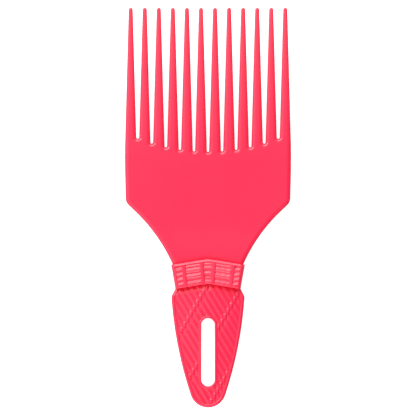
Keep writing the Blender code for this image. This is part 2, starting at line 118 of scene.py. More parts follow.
# The collar's bars as shares of its half width, at its foot and at its head
CENTRE_BAR_INNER = (0.100, 0.142)
CENTRE_BAR_OUTER = (0.185, 0.215)
SIDE_BAR_INNER = (0.640, 0.640)
SIDE_BAR_OUTER = (0.722, 0.722)
TIE_CELL_OUTER = (0.910, 0.910)

# Cords and ties in the collar's cells: places as shares of its height, and heights as shares of a cord's
CORD_CURVE = (
    (0.0, 0.0), (0.055, 0.0), (0.115, 1.0), (0.225, 0.1), (0.275, 0.1), (0.325, 0.95), (0.375, 0.5),
    (0.410, 1.0), (0.515, 0.0), (0.565, 0.95), (0.615, 0.5), (0.650, 1.0), (0.755, 0.0), (0.800, 0.95),
    (0.900, 0.0), (1.0, 0.0),
)
TIE_CURVE = (
    (0.0, 0.0), (0.060, 0.0), (0.120, 1.0), (0.235, 0.0), (0.260, 0.0), (0.320, 1.0), (0.435, 0.0),
    (0.460, 0.0), (0.520, 1.0), (0.635, 0.0), (0.660, 0.0), (0.720, 1.0), (0.845, 0.0), (1.0, 0.0),
)

# How far a tie rises across its cell, on the left and on the right, as shares of the collar's height
TIE_RISES = (0.03, 0.09)

# Knots in the centre cell: the crest, the falls towards the foot and the head, the width and the height. They
# are shares of the collar's height, but the width is one of its half width and the height one of a cord's
KNOTS = (
    (0.100, 0.040, 0.090, 0.30, 0.85),
    (0.255, 0.035, 0.055, 0.22, 0.50),
    (0.425, 0.050, 0.105, 0.26, 1.00),
    (0.635, 0.055, 0.120, 0.32, 1.00),
    (0.800, 0.040, 0.080, 0.30, 0.75),
)

# How much lower beads and pits are where they cross a rib, and how wide the crease between them is filled
SUNK_ON_RIBS = 0.8
CREASE = 0.00005

# Flow marks, drawn out along the comb, and uneven gloss, which is finer by this and varies by this roughness.
# Each changes over this range of its noise. A painted sheen, a paler coral, starts this far before the gaps
# and is full at the tips
FLOW_STRETCH = (1.0, 0.35, 1.0)
FLOW_RANGE = (0.35, 0.65)
GLOSS_FINENESS = 5
GLOSS_SPREAD = 0.06
GLOSS_RANGE = (0.3, 0.7)
PAINTED_SHEEN_LEAD = 0.006

# Over which parts of a direction the surroundings change: upward, right, left, beyond picks and beyond heel
OVERHEAD = (0.80, 0.98)
RIGHTWARD = (-0.25, 0.45)
LEFTWARD = (0.25, 0.75)
FARWARD = (0.25, 0.75)
NEARWARD = (0.50, 0.90)

# The studio's white, the floor's, and how much of what the camera sees is seen in a mirror too
WHITE = (1.0, 1.0, 1.0, 1.0)
FLOOR_WHITE = (0.86, 0.86, 0.86, 1.0)
MIRRORED_SHARE = 0.1

# The floor reaches this far from the comb and lies this far below it, and the lamps are this far away
FLOOR_REACH = 1.5
FLOOR_DROP = 0.0002
LAMP_DISTANCE = 1.2


def size(name, description, default):
    """A length in metres for the panel."""
    kind = {"min": 0.0, "precision": 5, "unit": "LENGTH"}
    return FloatProperty(name=name, description=description, default=default, **kind)


def angle(name, description, degrees):
    """An angle for the panel."""
    return FloatProperty(name=name, description=description, default=math.radians(degrees), subtype="ANGLE")


def share(name, description, default):
    """A plain number for the panel."""
    kind = {"min": 0.0, "precision": 3, "subtype": "FACTOR"}
    return FloatProperty(name=name, description=description, default=default, **kind)


def colour(name, description, default):
    """A colour for the panel."""
    kind = {"size": 4, "min": 0.0, "max": 1.0, "subtype": "COLOR"}
    return FloatVectorProperty(name=name, description=description, default=default, **kind)


class PickSizes(PropertyGroup):
    """Sizes of the twelve picks."""

    pitch: size("Pitch", "From the middle of one pick to the middle of the next", 0.00633)
    length: size("Length", "From the bottom of the middle gap to the tips", 0.0650)
    root_gap: size("Root gap", "Width of the gaps at their bottom", 0.00095)
    tip_width: size("Tip width", "Width of a pick at its round tip", 0.00185)
    tip_thickness: size("Tip thickness", "Thickness of a pick at its tip", 0.0019)
    tip_round: size("Tip rounding", "How far in a pick's edges are rounded at its tip", 0.00078)
    root_arc: size("Root arc", "Radius of the arc on which the gaps end", 0.0870)


class PlateSizes(PropertyGroup):
    """Sizes of the plate that carries the picks."""

    depth: size("Depth", "From the collar's head to the bottom of the middle gap", 0.0481)
    thickness: size("Thickness", "Thickness of the flat of the plate", 0.0032)
    edge_round: size("Edge rounding", "How far in the edges of the plate and of the gaps are rounded", 0.0020)
    edge_fall: share("Edge fall", "How far the rounded edges fall, as a share of how far in they reach", 0.66)
    widest_height: size("Widest height", "From the collar's head to the widest place", 0.0460)
    shoulder_height: size("Shoulder height", "From the collar's head to the shoulders", 0.0254)
    neck_thickness: size("Neck thickness", "Thickness where the plate runs into the collar", 0.0054)
    neck_swell: size("Neck swell", "Length over which the neck thins to the plate", 0.0160)
    groove_depth: size("Groove depth", "Depth of the groove at the collar's head", 0.00035)
    groove_reach: size("Groove reach", "How far the groove reaches from the collar's head", 0.0022)


class CollarSizes(PropertyGroup):
    """Sizes of the bound collar."""

    height: size("Height", "From the collar's foot to its head", 0.0111)
    thickness: size("Thickness", "Overall thickness", COLLAR_HIGH[2] - COLLAR_LOW[2])
    head_width: size("Head width", "Width at the head", 0.0332)
    foot_width: size("Foot width", "Width at the foot", 0.0294)
    chevron: angle("Chevron", "Slant of the collar's head and foot", 9.4)
    apex_round: size("Apex rounding", "How far the chevron's point is eased", 0.0011)
    side_round: size("Side rounding", "Radius of the collar's sides", 0.0020)
    head_round: size("Head rounding", "How far in the head's bead starts to fall", 0.0009)
    foot_round: size("Foot rounding", "How far in the foot's bead starts to fall", 0.00035)
    edge_drop: size("Edge drop", "How far the beads fall to their edges", 0.00040)
    head_bead: size("Head bead", "Width of the bead at the head", 0.0010)
    foot_bead: size("Foot bead", "Width of the bead at the foot", 0.00035)
    head_slope: size("Head slope", "Width of the slope from the head's bead into the cells", 0.00035)
    foot_slope: size("Foot slope", "Width of the slope from the foot's bead into the cells", 0.0006)
    cell_depth: size("Cell depth", "Depth of the cells that hold the cords", 0.00054)
    cord_height: size("Cord height", "How far the cords stand out of the cells", 0.00052)
    fillet: size("Fillet", "Width of the moulded slope at the cells' walls", 0.00022)
    moat: size("Moat", "From a bar to the end of a cord", 0.00002)
    end_slope: size("Cord end", "Length over which a cord rises at its ends", 0.00026)
    bar_offset: size("Side bar offset", "How far both side bars stand to the right", 0.0002)
    twist: size("Strand twist", "How far the strands wander as they twist", 0.00007)
    lay: size("Strand lay", "Length of one twist of the strands", 0.0026)


class GripSizes(PropertyGroup):
    """Sizes of the grip with its ribs and its hanging slot."""

    length: size("Length", "From the heel to the collar's foot", 0.0558)
    width: size("Width", "Width at the belly", 0.03307)
    thickness: size("Thickness", "Thickness beside the collar", 0.0066)
    heel_thickness: size("Heel thickness", "Thickness at the heel", 0.0054)
    heel_radius: size("Heel radius", "Radius of the round heel", 0.0082)
    side_radius: size("Side radius", "Radius of the long side curves", 0.1770)
    belly_drop: size("Belly drop", "From the collar's foot to the belly", 0.0059)
    belly_round: size("Belly rounding", "Radius of the belly's corners", 0.0029)
    edge_round: size("Edge rounding", "Radius of the grip's edges", 0.0009)
    slot_width: size("Slot width", "Width of the hanging slot", 0.0061)
    slot_heel_margin: size("Slot heel margin", "From the heel to the slot", 0.0093)
    slot_head_margin: size("Slot head margin", "From the slot to the collar's foot", 0.0156)
    slot_round: size("Slot rounding", "Radius of the slot's edges", 0.0004)
    border: size("Border", "Smooth border round the ribs", 0.00115)
    slot_border: size("Slot border", "Smooth border round the slot", 0.0008)
    fillet: size("Fillet", "Width of the slope from the border to the grooves", 0.00036)
    crown: size("Crown", "How far the face falls from the middle to the belly", 0.0015)
    valley_depth: size("Valley depth", "Depth of the valley at the collar's foot", 0.00095)
    valley_reach: size("Valley reach", "How far the valley reaches from the collar's foot", 0.0038)
    groove_depth: size("Groove depth", "Depth of the grooves below the border", 0.00036)
    rib_height: size("Rib height", "Height of the ribs above the grooves", 0.00025)
    rib_fade: share("Rib fade", "How much lower the ribs stand at the right edge", 0.5)
    rib_flat: size("Rib flat", "Half the width of a rib's flat top", 0.00008)
    rib_foot: size("Rib foot", "Half the width of a rib's foot", 0.00115)
    rib_end: size("Rib end", "Length over which ribs and beads rise from the border", 0.0007)
    rib_pitch: size("Rib pitch", "From one rib to the next", 0.0025)
    rib_place: size("Rib place", "Offset of the ribs from the middle of the grip's head", 0.00045)
    rib_slant: angle("Rib slant", "Slant of the ribs", 121.0)
    bead_height: size("Bead height", "Height of the rows of beads above the grooves", 0.00046)
    bead_flat: size("Bead flat", "Half the width of a bead's flat top", 0.00016)
    bead_foot: size("Bead foot", "Half the width of a bead's foot", 0.00112)
    bead_pitch: size("Bead pitch", "From one row of beads to the next", 0.0138)
    bead_place: size("Bead place", "Offset of the rows from the middle of the grip's head", 0.0001)
    bead_slant: angle("Bead slant", "Slant of the rows of beads", 60.0)
    pit_offset: size("Pit offset", "From a row of beads to its pits", 0.0013)
    pit_depth: size("Pit depth", "Depth of the pits below the grooves", 0.00020)


class PlasticFinish(PropertyGroup):
    """The moulded plastic."""

    coral: colour("Coral", "Colour of the plastic", (1.0, 0.0195, 0.074, 1.0))
    flow: colour("Flow coral", "Colour of the faint flow marks", (1.0, 0.0230, 0.080, 1.0))
    # Painted sheen: a paler coral mixed in towards the tips of the picks, standing in for the light that they
    # catch
    painted_tip_sheen: colour("Thin coral", "Colour of the thin plastic at the tips", (1.0, 0.047, 0.090, 1.0))
    roughness: share("Roughness", "Roughness of the polished plate and picks", 0.24)
    collar_roughness: share("Collar roughness", "Roughness of the collar", 0.36)
    grip_roughness: share("Grip roughness", "Roughness of the ribbed grip", 0.28)
    grain: size("Grain", "Depth of the moulded grain", 0.000002)


class StudioLight(PropertyGroup):
    """The studio."""

    key: share("Key", "Brightness of the soft box beyond the picks", 5.6)
    side: share("Side", "Brightness of the narrow soft box at the upper left", 14.0)
    sky: share("Sky", "Brightness of the surroundings", 1.36)
    ceiling: share("Dark ceiling", "How far the surroundings darken overhead", 0.55)
    dark_side: share("Dark side", "How far the surroundings darken at the right", 0.97)
    dim_left: share("Dim left", "How far the surroundings darken low at the left", 0.32)
    far_glow: share("Far glow", "How much brighter the surroundings are beyond the picks", 0.30)
    near_glow: share("Near glow", "How much brighter the surroundings are low beyond the grip", 0.80)
    floor: share("Floor", "How far the floor is lifted towards white", 0.88)


class CombSettings(PropertyGroup):
    """Everything that the comb's panel shows."""

    picks: PointerProperty(type=PickSizes, name="Picks", description="Sizes of the picks")
    plate: PointerProperty(type=PlateSizes, name="Plate", description="Sizes of the plate")
    collar: PointerProperty(type=CollarSizes, name="Collar", description="Sizes of the collar")
    grip: PointerProperty(type=GripSizes, name="Grip", description="Sizes of the grip")
    finish: PointerProperty(type=PlasticFinish, name="Finish", description="The plastic's colours and gloss")
    light: PointerProperty(type=StudioLight, name="Light", description="The studio's light")


# Node trees, written as sums on their sockets


def math_node(operation, swapped=False):
    """A method that adds a Math node. The value that has it is its first term, or its last one if swapped."""

    def method(value, *terms):
        terms = (*terms, value) if swapped else (value, *terms)
        return value.nodes.add("ShaderNodeMath", dict(enumerate(terms)), {"operation": operation})

    return method


class Value:
    """A socket of a node tree. Sums on it add the tree's Math nodes."""

    def __init__(self, nodes, socket):
        self.nodes = nodes
        self.socket = socket

    __add__ = __radd__ = math_node("ADD")
    __sub__ = math_node("SUBTRACT")
    __rsub__ = math_node("SUBTRACT", swapped=True)
    __mul__ = __rmul__ = math_node("MULTIPLY")
    __truediv__ = math_node("DIVIDE")
    __lt__ = math_node("LESS_THAN")
    __abs__ = math_node("ABSOLUTE")
    root = math_node("SQRT")
    sine = math_node("SINE")
    sign = math_node("SIGN")
    least = math_node("MINIMUM")
    most = math_node("MAXIMUM")

    # The larger of two values, with the crease between them filled over a width
    blend_most = math_node("SMOOTH_MAX")

    # Brought between a high and a low end by whole turns
    wrap = math_node("WRAP")


class Nodes:
    """A node tree to which nodes are added by one method."""

    def __init__(self, tree):
        self.tree = tree

    def add(self, kind, sockets=None, settings=None, out=0):
        """A node of that kind, with its settings made first and then its sockets' values or links."""
        node = self.tree.nodes.new(kind)
        for name, value in (settings or {}).items():
            setattr(node, name, value)
        for key, value in (sockets or {}).items():
            if isinstance(value, Value):
                self.tree.links.new(value.socket, node.inputs[key])
            else:
                node.inputs[key].default_value = value
        return Value(self, node.outputs[out]) if node.outputs else node

    def parts(self, vector):
        """The X, Y and Z of a vector."""
        split = self.add("ShaderNodeSeparateXYZ", {0: vector})
        return [Value(self, socket) for socket in split.socket.node.outputs]

    def joined(self, x, y, z):
        return self.add("ShaderNodeCombineXYZ", {0: x, 1: y, 2: z})

    def ramp(self, value, start, stop, course="LINEAR"):
        """Runs evenly from 0 at start to 1 at stop, or on another course."""
        return self.add("ShaderNodeMapRange", {0: value, 1: start, 2: stop}, {"interpolation_type": course})

    def ease(self, value, start, stop):
        """Runs smoothly from 0 at start to 1 at stop."""
        return self.ramp(value, start, stop, "SMOOTHSTEP")

    def between(self, value, low, high, slope):
        """1 between low and high, with smooth slopes inside them."""
        return self.ease(value, low, low + slope) * (1.0 - self.ease(value, high - slope, high))

    def curve(self, value, points):
        """The height at that place on straight lines through the points, each a place and a height."""
        height = self.add("ShaderNodeFloatCurve", {"Value": value})
        mapping = height.socket.node.mapping
        stops = mapping.curves[0].points
        for place in points[1:-1]:
            stops.new(*place)
        for stop, place in zip(stops, points):
            stop.location = place
            stop.handle_type = "VECTOR"
        mapping.update()
        return height

    def mixed(self, factor, first, second):
        """From the first colour to the second."""
        return self.add("ShaderNodeMix", {0: factor, 6: first, 7: second}, {"data_type": "RGBA"}, out=2)


# Moulds


class Mould:
    """A Geometry Nodes tree that turns a flat face mesh into a closed moulded body.

    The body's own rule gives the height of its face above the middle plane at each point.
    """

    def __init__(self, name):
        self.tree = bpy.data.node_groups.new(name, "GeometryNodeTree")
        self.nodes = Nodes(self.tree)
        interface = self.tree.interface
        interface.new_socket("Body", in_out="OUTPUT", socket_type="NodeSocketGeometry")
        interface.new_socket("Face", in_out="INPUT", socket_type="NodeSocketGeometry")
        plastic = interface.new_socket("Plastic", in_out="INPUT", socket_type="NodeSocketMaterial")
        self.plastic = plastic.identifier
        self.entry = self.tree.nodes.new("NodeGroupInput")
        self.values = {}

    def entered(self, label):
        """What comes in at the tree's input of that name."""
        return Value(self.nodes, self.entry.outputs[label])

    def reader(self, owner):
        """What reads an owner's sizes in the tree. Each becomes a named input when it is first read."""

        def read(name):
            label, value = owner.bl_rna.properties[name].name, getattr(owner, name)
            if label not in self.entry.outputs:
                socket = self.tree.interface.new_socket(label, in_out="INPUT", socket_type="NodeSocketFloat")
                socket.default_value = value
                self.values[socket.identifier] = value
            return self.entered(label)

        return read

    def stored(self, name, kind="FLOAT"):
        """A value that each point of the face mesh carries."""
        return self.nodes.add("GeometryNodeInputNamedAttribute", {"Name": name}, {"data_type": kind})

    def place(self):
        """Across and station of each point."""
        return self.nodes.parts(self.nodes.add("GeometryNodeInputPosition"))[:2]

    def rounding(self, distance, radius):
        """How far a rounded edge lies below the face, at a distance from the edge."""
        reach = radius - distance.least(radius)
        return radius - (radius * radius - reach * reach).most(0.0).root()

    def chevron(self, plan, apex):
        """The station of the chevron whose point is at apex, at each point's place across the comb."""
        across, eased = self.place()[0], self.reader(plan.collar)("apex_round")
        return apex - (across * across + eased * eased).root() * plan.slant

    def hollow(self, distance, reach, depth):
        """How deep a hollow is at a distance from its deepest line. It runs out at its reach."""
        closed = 1.0 - distance.most(0.0).least(reach) / reach
        return closed * closed * depth

    def finish(self, height, shift):
        """Raises the face to that height, closes it at the parting line and adds a turned copy, the back."""
        nodes = self.nodes
        across, station = self.place()
        sockets = {"Geometry": self.entered("Face"), "Position": nodes.joined(across, station, height)}
        front = nodes.add("GeometryNodeSetPosition", sockets)
        rim = nodes.add("GeometryNodeInputMeshEdgeNeighbors") < RIM_NEIGHBOURS
        outward = nodes.parts(self.stored("outward", "FLOAT_VECTOR"))
        for level, proud in ((PARTING_HEIGHT, 0.0), (0.0, PARTING_PROUD)):
            sockets = {"Mesh": front, "Selection": rim, "Offset Scale": 0.0}
            wall = nodes.add("GeometryNodeExtrudeMesh", sockets, {"mode": "EDGES"}).socket.node
            rim = Value(nodes, wall.outputs["Top"])
            lowered = nodes.joined(across + outward[0] * proud, station + outward[1] * proud, level)
            sockets = {"Geometry": Value(nodes, wall.outputs["Mesh"]), "Selection": rim, "Position": lowered}
            front = nodes.add("GeometryNodeSetPosition", sockets)
        back = nodes.add("GeometryNodeTransform", {"Geometry": front, "Rotation": (0.0, math.pi, 0.0)})
        both = self.tree.nodes.new("GeometryNodeJoinGeometry")
        for half in (front, back):
            self.tree.links.new(half.socket, both.inputs[0])
        sockets = {"Geometry": Value(nodes, both.outputs[0]), "Distance": MERGE_DISTANCE}
        closed = nodes.add("GeometryNodeMergeByDistance", sockets)
        shifted = nodes.add("GeometryNodeTransform", {"Geometry": closed, "Translation": shift})
        smooth = nodes.add("GeometryNodeSetShadeSmooth", {"Geometry": shifted})
        solid = nodes.add("GeometryNodeRealizeInstances", {"Geometry": smooth})
        sockets = {"Geometry": solid, "Material": self.entered("Plastic")}
        dressed = nodes.add("GeometryNodeSetMaterial", sockets)
        leave = self.tree.nodes.new("NodeGroupOutput")
        self.tree.links.new(dressed.socket, leave.inputs[0])


def placed(name, data):
    """An object with that data, in the scene."""
    obj = bpy.data.objects.new(name, data)
    bpy.context.scene.collection.objects.link(obj)
    return obj


def cast(name, face, mould, plastic, replaced):
    """Casts a face mesh in its mould, as a plain closed mesh that stands for the nodes it replaces."""
    blank = placed(name + "_face", face)
    step = blank.modifiers.new("mould", "NODES")
    step.node_group = mould.tree
    for identifier, value in {mould.plastic: plastic, **mould.values}.items():
        step[identifier] = value
    graph = bpy.context.evaluated_depsgraph_get()
    mesh = bpy.data.meshes.new_from_object(blank.evaluated_get(graph))
    bpy.data.objects.remove(blank)
    bpy.data.meshes.remove(face)
    if not mesh.polygons:
        raise RuntimeError(name + " came out empty")
    for used in ("edge", "slot_edge", "rim", "outward", "up"):
        if used in mesh.attributes:
            mesh.attributes.remove(mesh.attributes[used])
    mesh.name = name
    obj = placed(name, mesh)
    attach(obj, BODY)
    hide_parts(*replaced)


# Outlines, as points (x, station)


def arc(centre, radius, start, stop, steps):
    """Points on a circle from angle start to angle stop, in degrees, both ends included."""
    turns = np.radians(np.linspace(start, stop, steps + 1))
    return [(centre[0] + radius * math.cos(a), centre[1] + radius * math.sin(a)) for a in turns]


def swing(centre, arm, turn, steps):
    """Points that the end of an arm passes as it turns about the centre."""
    points = []
    for a in np.linspace(0.0, turn, steps + 1):
        cosine, sine = math.cos(a), math.sin(a)
        points.append((centre.x + arm.x * cosine - arm.y * sine, centre.y + arm.x * sine + arm.y * cosine))
    return points


def rounded_corner(before, corner, after, radius, steps):
    """The corner of an outline as an arc that both of its sides run into."""
    here = Vector(corner)
    back = (Vector(before) - here).normalized()
    ahead = (Vector(after) - here).normalized()
    half = back.angle(ahead) / 2
    centre = here + (back + ahead).normalized() * (radius / math.sin(half))
    start = here + back * (radius / math.tan(half)) - centre
    turn = start.angle_signed(here + ahead * (radius / math.tan(half)) - centre)
    return swing(centre, start, -turn, steps)


def tangent_arc(start, direction, stop, steps):
    """The arc that leaves start in that direction and ends at stop."""
    begin = Vector(start)
    along = Vector(direction).normalized()
    across = Vector((-along.y, along.x))
    chord = Vector(stop) - begin
    centre = begin + across * (chord.length_squared / (2 * chord.dot(across)))
    turn = 2 * math.atan2(chord.dot(across), chord.dot(along))
    return swing(centre, begin - centre, turn, steps)


def straight(start, stop, steps):
    """Points between start and stop, both ends left out."""
    return [tuple(np.add(start, np.subtract(stop, start) * step / steps)) for step in range(1, steps)]


def eased(start, start_slope, stop, stop_slope, steps):
    """Points after start on the cubic that leaves it and reaches stop at those slopes, of x to station."""
    (x0, low), (x1, high) = start, stop
    span = high - low
    points = []
    for t in np.linspace(0.0, 1.0, steps + 1)[1:]:
        x = x0 * (2 * t**3 - 3 * t**2 + 1) + x1 * (3 * t**2 - 2 * t**3)
        x += span * (start_slope * (t**3 - 2 * t**2 + t) + stop_slope * (t**3 - t**2))
        points.append((x, low + span * t))
    return points


def mirrored(points):
    return [(-x, y) for x, y in reversed(points)]


class Plan:
    """The comb's outlines and stations, worked out from its settings."""

    def __init__(self, settings):
        self.picks = settings.picks
        self.plate = settings.plate
        self.collar = settings.collar
        self.grip = settings.grip
        self.foot = self.grip.length
        self.head = self.foot + self.collar.height
        self.roots = self.head + self.plate.depth
        self.tips = self.roots + self.picks.length
        self.taper = (self.picks.pitch - self.picks.root_gap - self.picks.tip_width) / 2 / self.picks.length
        self.lean = math.degrees(math.atan(self.taper))
        self.slant = math.tan(self.collar.chevron)
        self.shift = (0.0, -self.tips / 2, self.collar.thickness / 2)

    def pick_place(self, index):
        return (index - (PICK_COUNT - 1) / 2) * self.picks.pitch

    def pick_half_width(self, station):
        return self.picks.tip_width / 2 + self.taper * (self.tips - station)

    def root_rise(self, x):
        """How far the bottom of a gap at x lies above the middle one: the gaps end on an arc."""
        return self.picks.root_arc - math.sqrt(self.picks.root_arc**2 - x**2)

    def touching(self, half_width):
        """The radius of the circle that touches both flanks, from half their distance at its far side."""
        cosine = math.cos(math.atan(self.taper))
        return half_width * cosine / (1 - self.taper * cosine)

    def tip(self, index):
        """The round tip of a pick, from its right flank to its left one."""
        radius = self.touching(self.picks.tip_width / 2)
        return arc((self.pick_place(index), self.tips - radius), radius, self.lean, 180 - self.lean, 16)

    def gap(self, index):
        """The round bottom of the gap at the left of a pick, from that pick to the next."""
        middle = self.pick_place(index) - self.picks.pitch / 2
        bottom = self.roots + self.root_rise(middle)
        radius = self.touching(self.picks.pitch / 2 - self.pick_half_width(bottom))
        return arc((middle, bottom + radius), radius, self.lean, -180 - self.lean, 14)

    def plate_side(self):
        """The right side, from inside the collar up to the outer pick's root."""
        last = self.pick_place(PICK_COUNT - 1)
        seat = self.roots + self.root_rise(last) + STUB_HEIGHT
        stub = (last + self.pick_half_width(seat), seat)
        neck_half = self.collar.head_width / 2 - NECK_INSET
        neck = (neck_half, self.head - self.slant * neck_half)
        shoulder = (stub[0] - SHOULDER_INSET, self.head + self.plate.shoulder_height)
        widest = (stub[0] + WIDEST_BULGE, self.head + self.plate.widest_height)
        slope = math.radians(SHOULDER_SLOPE_DEGREES)
        inward = (-math.sin(slope), -math.cos(slope))
        run_end = tuple(np.add(shoulder, np.multiply(inward, SHOULDER_RUN)))
        corner = rounded_corner(widest, shoulder, run_end, SHOULDER_ROUND, 16)
        points = corner + straight(corner[-1], run_end, 5) + tangent_arc(run_end, inward, neck, 26)
        points.append((neck[0], neck[1] - HIDDEN_DEPTH))
        points.reverse()
        leave = (widest[0] - shoulder[0]) / (widest[1] - shoulder[1])
        points += eased(points[-1], leave, widest, 0.0, 16)
        return points + eased(widest, 0.0, stub, -self.taper, 8)

    def head_outline(self):
        """The plate and its picks, counterclockwise."""
        points = self.plate_side()
        for index in reversed(range(PICK_COUNT // 2, PICK_COUNT)):
            tip, gap = self.tip(index), self.gap(index)
            if index == PICK_COUNT // 2:
                gap = gap[: len(gap) // 2 + 1]
            points += straight(points[-1], tip[0], 20) + tip + straight(tip[-1], gap[0], 20) + gap
        return points + mirrored(points[:-1]) + [(0.0, self.head - HIDDEN_DEPTH)]

    def head_rounding(self, point):
        """The radius of the edge at a point of the plate's and picks' outline."""
        along = min(max((point[1] - self.roots) / self.picks.length, 0.0), 1.0)
        return self.plate.edge_round + (self.picks.tip_round - self.plate.edge_round) * along

    def collar_half_width(self, up):
        return (self.collar.foot_width + (self.collar.head_width - self.collar.foot_width) * up) / 2

    def chevron(self, x, apex):
        return apex - self.slant * np.hypot(x, self.collar.apex_round)

    def side_arc_centre(self, belly, heel):
        """The centre of the grip's long side arc, which passes the belly and runs into the round heel."""
        far, near = self.grip.side_radius, self.grip.side_radius - self.grip.heel_radius
        gap = heel - belly
        along = (far**2 - near**2 + gap.length_squared) / (2 * gap.length)
        off = math.sqrt(max(far**2 - along**2, 0))
        unit = gap.normalized()
        return belly + unit * along + Vector((unit.y, -unit.x)) * off

    def grip_outline(self):
        """The grip's whole outline, counterclockwise from the heel."""
        belly = Vector((self.grip.width / 2, self.foot - self.grip.belly_drop))
        heel = Vector((0, self.grip.heel_radius))
        centre = self.side_arc_centre(belly, heel)
        to_heel, to_belly = heel - centre, belly - centre
        low = math.degrees(math.atan2(to_heel.y, to_heel.x))
        high = math.degrees(math.atan2(to_belly.y, to_belly.x))
        half = self.collar.foot_width / 2
        top = (half, self.foot - self.slant * half)
        side = arc(centre, self.grip.side_radius, low, high, 90)
        corner = rounded_corner(side[-2], belly, top, self.grip.belly_round, 14)
        reach = (Vector(corner[0]) - belly).length + CORNER_CLEARANCE
        side = [point for point in side if (Vector(point) - belly).length > reach]
        right = arc(heel, self.grip.heel_radius, -90, low, 26)[1:-1] + side + corner
        right += straight(corner[-1], top, 4) + [top, (half, top[1] + HIDDEN_DEPTH)]
        return [(0.0, 0.0)] + right + [(0.0, self.foot + HIDDEN_DEPTH)] + mirrored(right)

    def slot_outline(self):
        """The hanging slot, clockwise, so that the grip is on its left."""
        radius = self.grip.slot_width / 2
        low = self.grip.slot_heel_margin + radius
        high = self.foot - self.grip.slot_head_margin - radius
        right = arc((0, low), radius, -90, 0, 16) + straight((radius, low), (radius, high), 14)
        right += arc((0, high), radius, 0, 90, 16)
        return list(reversed(right + mirrored(right[1:-1])))


# Face meshes


def on_rounding(radius):
    """Where the points of a rounded edge lie, as distances from it."""
    return [radius * (1 - math.cos(math.radians(turn))) for turn in ROUND_ANGLES]


class Loop:
    """A closed outline with the body on its left, and rings of points inside it."""

    def __init__(self, name, points, radii, further=()):
        self.name = name
        self.points = np.array(points)
        ahead = np.roll(self.points, -1, axis=0) - self.points
        ahead /= np.linalg.norm(ahead, axis=1)[:, None]
        right = np.stack([ahead[:, 1], -ahead[:, 0]], axis=1)
        both = right + np.roll(right, 1, axis=0)
        self.outward = both * 2 / np.sum(both * both, axis=1)[:, None]
        self.radii = np.broadcast_to(radii, len(points)).astype(float)
        self.insets = np.array([[*on_rounding(radius), radius + SUPPORT, *further] for radius in self.radii])

    def ring(self, index):
        return self.points - self.outward * (self.insets[:, index, None] + PARTING_PROUD)

    def distance(self, places):
        """How far each place is from the outline's wall."""
        nearest = np.full(len(places), np.inf)
        for corner, side in zip(self.points, np.roll(self.points, -1, axis=0) - self.points):
            reach = np.clip((places - corner) @ side / (side @ side), 0, 1)
            nearest = np.minimum(nearest, np.linalg.norm(places - corner - reach[:, None] * side, axis=1))
        return nearest - PARTING_PROUD

    def encloses(self, places):
        """Which places the outline goes round."""
        inside = np.zeros(len(places), bool)
        for (x0, y0), (x1, y1) in zip(self.points, np.roll(self.points, -1, axis=0)):
            if y0 != y1:
                crossed = (y0 > places[:, 1]) != (y1 > places[:, 1])
                inside ^= crossed & (places[:, 0] < (x1 - x0) * (places[:, 1] - y0) / (y1 - y0) + x0)
        return inside


def store(mesh, name, values):
    """Keeps a number or a vector on each point of the mesh."""
    kind, field = ("FLOAT_VECTOR", "vector") if np.ndim(values) == 2 else ("FLOAT", "value")
    mesh.attributes.new(name, kind, "POINT").data.foreach_set(field, np.ravel(values).astype(np.float32))


def face_mesh(name, outline, holes, lattice):
    """A flat face in the middle plane: rings of quads along each outline, and triangles over the rest."""
    loops = [outline, *holes]
    places, faces, borders, spans = [], [], [], []
    for loop in loops:
        count = len(loop.points)
        begin = len(places)
        for index in range(loop.insets.shape[1]):
            first = len(places)
            places.extend(loop.ring(index))
            if index:
                for here in range(count):
                    there = (here + 1) % count
                    faces.append((first - count + here, first - count + there, first + there, first + here))
        borders.append(range(first, first + count))
        spans.append((begin, len(places)))
    lattice = np.array(lattice).reshape(-1, 2)
    inside = outline.encloses(lattice)
    for loop in loops:
        clear = loop.insets[:, -1].max() + LATTICE_CLEARANCE
        inside &= loop.distance(lattice) > clear
        inside &= ~loop.encloses(lattice) | (loop is outline)
    lattice = lattice[inside]
    corners = [index for border in borders for index in border]
    edges, at = [], 0
    for border in borders:
        edges += [(at + here, at + (here + 1) % len(border)) for here in range(len(border))]
        at += len(border)
    corners += range(len(places), len(places) + len(lattice))
    places = np.concatenate([np.array(places), lattice])
    given = [Vector(places[index]) for index in corners]
    _, _, found, sources, _, _ = delaunay_2d_cdt(given, edges, [], TRIANGLES_INSIDE, NEAREST_POINTS)
    triangles = np.array([[corners[sources[corner][0]] for corner in triangle] for triangle in found])
    for hole in holes:
        triangles = triangles[~hole.encloses(places[triangles].mean(axis=1))]
    faces += triangles.tolist()
    mesh = bpy.data.meshes.new(name)
    mesh.from_pydata([(x, y, 0.0) for x, y in places], [], faces)
    if mesh.validate():
        raise RuntimeError(name + " has faces that don't hold")
    outward, radii = np.zeros((len(places), 3)), np.full(len(places), outline.radii[0])
    for loop, (begin, end) in zip(loops, spans):
        rings = loop.insets.shape[1]
        outward[begin:end, :2] = np.tile(loop.outward, (rings, 1))
        radii[begin:end] = np.tile(loop.radii, rings)
        distance = loop.distance(places)
        distance[begin:end] = loop.insets.T.ravel()
        store(mesh, loop.name, distance)
    store(mesh, "outward", outward)
    store(mesh, "rim", radii)
    return mesh


# Plate and picks


def head_face(plan):
    """The plate and its picks, drawn flat, with rows of points where the neck swells."""
    points = plan.head_outline()
    outline = Loop("edge", points, [plan.head_rounding(point) for point in points])
    below, beyond = NECK_MARGINS
    rows = np.arange(plan.head - below, plan.head + plan.plate.neck_swell + beyond, NECK_ROW)
    columns = np.arange(-NECK_COLUMNS, NECK_COLUMNS + 1) * NECK_COLUMN
    return face_mesh("plate_face", outline, [], [(x, y) for y in rows for x in columns])


